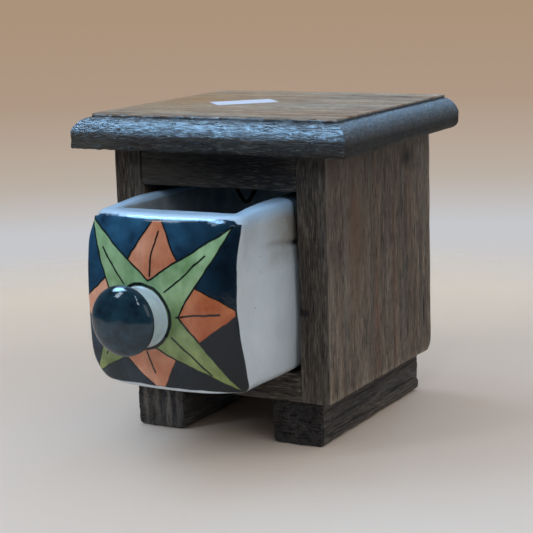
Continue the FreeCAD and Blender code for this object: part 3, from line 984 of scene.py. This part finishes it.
# White glazed earthenware, painted by hand under a clear gloss glaze.
# The eye sees a bluish white, soft brush clouds in the colours, thin dark outlines and pinholes.
def paintedGlaze():
    low, high = drawerBox()
    middle = (low + high) / 2
    middle.y = low.y
    name = "hand painted glazed earthenware"
    material, shader, add, centred, noise = newMaterial(name, middle, glaze["noises"])
    flat = add("VectorMath", (centred, (1, 0, 1)), operation="MULTIPLY")
    painted = paintedStar(add, flat, noise, middle)

    # Painted shade: browner towards the upper rear of the right wall, near the cabinet's front and under its
    # top
    x, y, z = add("SeparateXYZ", (centred,)).node.outputs
    white = add("ValToRGB", (noise["broad"],), stops=zip((0.3, 0.7), glaze["white"]))
    warmShade = [add("MapRange", (axis, *span)) for axis, span in zip((x, y, z), glaze["warmShadeSpans"])]
    warmShade = extreme(add, "MINIMUM", warmShade)
    uneven = add("MapRange", (noise["cloud"], 0.3, 0.6, 0.3, 0.75))
    warmShade = add("Math", (warmShade, uneven), operation="MULTIPLY")

    # Painted sheen: bluer along the rim, a painted reflection of the sky light from above
    half = (high - low) / 2 / mm
    rimSheen = add("Math", (noise["edge"], 3.0, z), operation="MULTIPLY_ADD")

    # Greyer inside, up to a brushed line just under the rim, as painted shade in the tub; and painted at the
    # front
    sideEdge, topEdge = glaze["insideEdge"]
    wall = drawer["wall"] / mm - sideEdge
    fromAxis = add("Math", (x,), operation="ABSOLUTE")
    fromMid = add("Math", (y, half.y), operation="SUBTRACT")
    fromMid = add("Math", (fromMid,), operation="ABSOLUTE")
    inside = extreme(add, "MINIMUM", [
        add("Math", (half.x - wall, fromAxis), operation="SUBTRACT"),
        add("Math", (half.y - wall, fromMid), operation="SUBTRACT"),
        add("Math", (half.z - topEdge, z), operation="SUBTRACT"),
    ])
    dark = add("ValToRGB", (noise["cloud"],), stops=zip(glaze["clouds"], glaze["inside"]))
    # On the right the paint stops at the fold, so its edge follows the ball of the face
    squared = add("VectorMath", (flat, flat), out="Value", operation="DOT_PRODUCT")
    start = glaze["foldWidth"] - drawer["bulge"] / mm
    fold = add("Math", (squared, mm / (2 * faceBall()), start), operation="MULTIPLY_ADD")
    fold = add("Math", (fold, y), operation="SUBTRACT")
    onFace = extreme(add, "MINIMUM", [
        fold,
        add("Math", (z, half.z + 0.1), operation="ADD"),
        add("Math", (half.z - drawer["rimDip"] / mm - 0.6, z), operation="SUBTRACT"),
        add("Math", (1.2, y), operation="SUBTRACT"),
    ])
    inside, onFace = [add("Math", (part, noise["edge"]), operation="SUBTRACT") for part in (inside, onFace)]
    plug(shader, {
        "Base Color": coated(add, white, [
            (noise["speck"], (0.74, 0.78), *glaze["speck"]),
            (warmShade, whole, glaze["warmShade"], 1.0),
            (rimSheen, (half.z - glaze["rimSheenDepth"], half.z), *glaze["rimSheen"]),
            (inside, around(0.8), dark, 1.0),
            (onFace, around(0.3), painted, 1.0),
        ]),
        "IOR": 1.45,
        "Roughness": 0.12,
        "Normal": add("Bump", {"Height": noise["dimple"], "Strength": 1.0, "Distance": 0.2 * mm}),
    })
    return material


# The same glaze on the knob: white neck, blue-black head
def knobGlaze(seat):
    low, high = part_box("drawer_knob")
    middle = (low + high) / 2
    middle.y = seat
    name = "blue black glaze over white earthenware"
    material, shader, add, centred, noise = newMaterial(name, middle, knob["noises"])
    white, navy = [add("ValToRGB", (noise["cloud"],), stops=knob[part]) for part in ("white", "navy")]
    reach = add("SeparateXYZ", (centred,), out="Y")
    reach = add("Math", (noise["wave"], reach), operation="SUBTRACT")
    head = add("Math", (reach, knob["neckLength"] / mm + 1.0), operation="SUBTRACT")
    plug(shader, {
        "Base Color": coated(add, white, [(head, around(0.25), navy, 1.0)]),
        "IOR": 1.5,
        "Roughness": 0.07,
        "Normal": add("Bump", {"Height": noise["cloud"], "Strength": 1.0, "Distance": 0.12 * mm}),
    })
    return material


# Paper label: a thin sheet, a little wavy at its cut edges. The wave is in mm.
label = {
    "length": 25.0 * mm, "width": 15.0 * mm, "thickness": 0.1 * mm, "turn": 44.0, "wave": 0.1,
    "noises": {"fibre": ((1.2, 0.5, 1), 4, 0.5)}, "paper": [(0.3, "#bdc4d4"), (0.7, "#d3d9e6")],
}


def makeLabel():
    low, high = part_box("paper_label")
    middle = (low + high) / 2
    deselectAll()
    bpy.ops.mesh.primitive_grid_add(
        x_subdivisions=40, y_subdivisions=24, size=1,
        location=(middle.x, middle.y, low.z + 0.02 * mm), rotation=(0, 0, math.radians(label["turn"])),
    )
    piece = started("paperLabel", (label["length"], label["width"], 1))
    applied(piece, "SOLIDIFY", thickness=label["thickness"], offset=1)
    roughen(piece, label["wave"], (7, 7, 7), 41)
    pressFlat(piece, low, high)
    material, shader, add, _, noise = newMaterial("plain paper sticker", middle, label["noises"])
    colour = add("ValToRGB", (noise["fibre"],), stops=label["paper"])
    plug(shader, {"Base Color": colour, "Roughness": 0.7})
    finished(piece, "cabinet", material, ["paper_label"])


# Metal that stays as the frame has it: the stop wire, annealed black, and the brads and nails,
# which keep the bright skin of drawing. The eye sees faint patches in both.
def metal(name, dark, light, roughness):
    material, shader, add, _, noise = newMaterial(name, (0, 0, 0), {"patch": ((1.5, 1.5, 1.5), 4, 0.5)})
    patches = noise["patch"]
    plug(shader, {
        "Base Color": add("ValToRGB", (patches,), stops=[(0.35, dark), (0.65, light)]),
        "Metallic": 1.0,
        "Roughness": add("MapRange", (patches, 0.3, 0.7, roughness - 0.12, roughness + 0.12)),
    })
    return material


def dressMetal():
    blackened = metal("blackened iron wire", "#15120f", "#2b2622", 0.55)
    steel = metal("drawn nail steel", "#7a7773", "#a5a29c", 0.35)
    for node, material in (
        ("drawer_stop_wire", blackened), ("top_brads", steel), ("side_brads", steel), ("foot_nails", steel),
    ):
        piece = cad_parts[node]
        piece.data.materials.clear()
        piece.data.materials.append(material)


# Floor and backdrop: a pale sheet that fades into the wall's colour where the camera sees it.
# The floor's colours run away from the camera, by metres from the cabinet. The wall's go by angle.
stage = {
    "floorRadius": 0.46,
    "fade": (0.26, 0.44),
    "floor": [(-0.12, "#d8cabc"), (0.03, "#d5c1af"), (0.12, "#d0bba6"), (0.24, "#dac4ab")],
    "wall": [(-9.6, "#c6c7cb"), (-7.9, "#baafa4"), (-5.1, "#ae9885"), (-2.0, "#ab927b")],
    "ambient": "#fbfcff",
    "ambientLevel": (0.04, 0.88),
    "room": "#aebfd0",
    "roomLevel": (0.1, 0.5),
    "sky": "#8ccaff",
    "skyLevel": 38.0,
    "skyPlace": (-0.52, -0.27, 0.81),
    "skyWidth": (0.955, 0.988),
}


# Colour stops of a ramp that runs over the whole span of the given places
def spread(places, codes):
    first, last = places[0], places[-1]
    return [((place - first) / (last - first), code) for place, code in zip(places, codes)]


def makeFloor():
    deselectAll()
    bpy.ops.mesh.primitive_circle_add(vertices=96, radius=stage["floorRadius"], fill_type="NGON")
    floor = bpy.context.object
    floor.name = "floor"
    cloud = {"cloud": ((120, 120, 120), 2, 0.5)}
    material, shader, add, centred, noise = newMaterial("pale board", (0, 0, 0), cloud)
    yaw = math.radians(shot["yaw"])
    ahead = (-math.sin(yaw), math.cos(yaw), 0)
    ahead = add("VectorMath", (centred, ahead), out="Value", operation="DOT_PRODUCT")
    ahead = add("Math", (noise["cloud"], 60.0, ahead), operation="MULTIPLY_ADD")
    ahead = add("Math", (ahead, 30.0), operation="SUBTRACT")
    places = [place / mm for place, _ in stage["floor"]]
    share = add("MapRange", (ahead, places[0], places[-1]))
    colour = add("ValToRGB", (share,), stops=spread(places, [code for _, code in stage["floor"]]))
    plug(shader, {"Base Color": colour, "Roughness": 0.75})
    away = add("VectorMath", (centred,), out="Value", operation="LENGTH")
    start, end = (value / mm for value in stage["fade"])
    share = add("MapRange", (away, start, end), interpolation_type="SMOOTHSTEP")
    mixed = add("MixShader", (share, shader.outputs[0], add("BsdfTransparent")))
    plug(material.node_tree.nodes["Material Output"], {"Surface": mixed})
    floor.data.materials.append(material)


def makeWorld():
    world = bpy.data.worlds.new("studio")
    bpy.context.scene.world = world
    world.use_nodes = True
    add = partial(addNode, world.node_tree)
    across, behind, up = add("SeparateXYZ", (add("TexCoord", out="Generated"),)).node.outputs
    heights = [math.sin(math.radians(angle)) for angle, _ in stage["wall"]]
    share = add("MapRange", (up, heights[0], heights[-1]))
    wall = add("ValToRGB", (share,), stops=spread(heights, [code for _, code in stage["wall"]]))
    seen = add("Background", {"Color": wall, "Strength": 1.0})
    # The room as a reflection shows it: dim on the camera's side, with a patch of bright sky overhead
    direction = add("CombineXYZ", (across, behind, up))
    towards = add("VectorMath", (direction, stage["skyPlace"]), out="Value", operation="DOT_PRODUCT")
    sky = add("MapRange", (towards, *stage["skyWidth"]))
    dim = add("MapRange", (behind, -0.5, 0.3, *stage["roomLevel"]))
    dim = add("Math", (sky, stage["skyLevel"], dim), operation="MULTIPLY_ADD")
    colour = coated(add, stage["room"], [(sky, whole, stage["sky"], 1.0)])
    mirrored = add("Background", {"Color": colour, "Strength": dim})
    overhead = add("MapRange", (up, 0.1, 0.7, *stage["ambientLevel"]))
    light = add("Background", {"Color": stage["ambient"], "Strength": overhead})
    path = add("LightPath").node.outputs
    mixed = add("MixShader", (path["Is Glossy Ray"], light, mirrored))
    visible = extreme(add, "MAXIMUM", [path["Is Camera Ray"], path["Is Transmission Ray"]])
    mixed = add("MixShader", (visible, mixed, seen))
    plug(world.node_tree.nodes["World Output"], {"Surface": mixed})


# Lamps, as large panels far away: place, size, colour and level. A level of 1 alone would light a
# facing surface as its colour is written.
lamps = [
    ("roof window", (-1.15, 0.1, 1.9), (1.1, 0.8), "#acd6ff", 0.28),
    ("back window", (-0.1, 1.95, 1.1), (0.8, 0.4), "#9ccfff", 0.16),
    ("left pane", (-0.97, -1.36, 1.2), (0.24, 0.75), "#d5e9ff", 0.15),
    ("right pane", (0.42, -1.33, 1.35), (0.12, 0.9), "#d5e9ff", 0.09),
    ("right wall", (1.8, -0.8, 0.9), (1.2, 1.2), "#ffffff", 0.1),
]
lampsAim = (0, 0, 0.06)


def makeLamps():
    for name, place, size, colour, level in lamps:
        aim = Vector(lampsAim) - Vector(place)
        data = bpy.data.lights.new(name, "AREA")
        data.shape = "RECTANGLE"
        data.size, data.size_y = size
        data.color = fromHex(colour)[:3]
        data.energy = level * math.pi ** 2 * aim.length_squared
        lamp = newObject(name, data)
        lamp.location = place
        lamp.rotation_euler = aim.to_track_quat("-Z", "Y").to_euler()


setCamera()
makeTopBoard()
for name, spec in boards.items():
    makeBoard(name, spec)
# The end tints darken the foot ends: partly end-grain stain, partly painted shade
makeFoot("footLeft", "foot_left", 16, (2.2, 3.0, 14.0), "#e8e8ea", feet["ridges"])
makeFoot("footRight", "foot_right", 17, (3.6, 3.0, 1.4), "#c4c4ca", [])
makeDrawerTub()
makeKnob()
makeLabel()
dressMetal()
print("pieces made")
makeFloor()
makeWorld()
makeLamps()
bpy.context.scene.view_settings.view_transform = "Standard"
print("stage set")
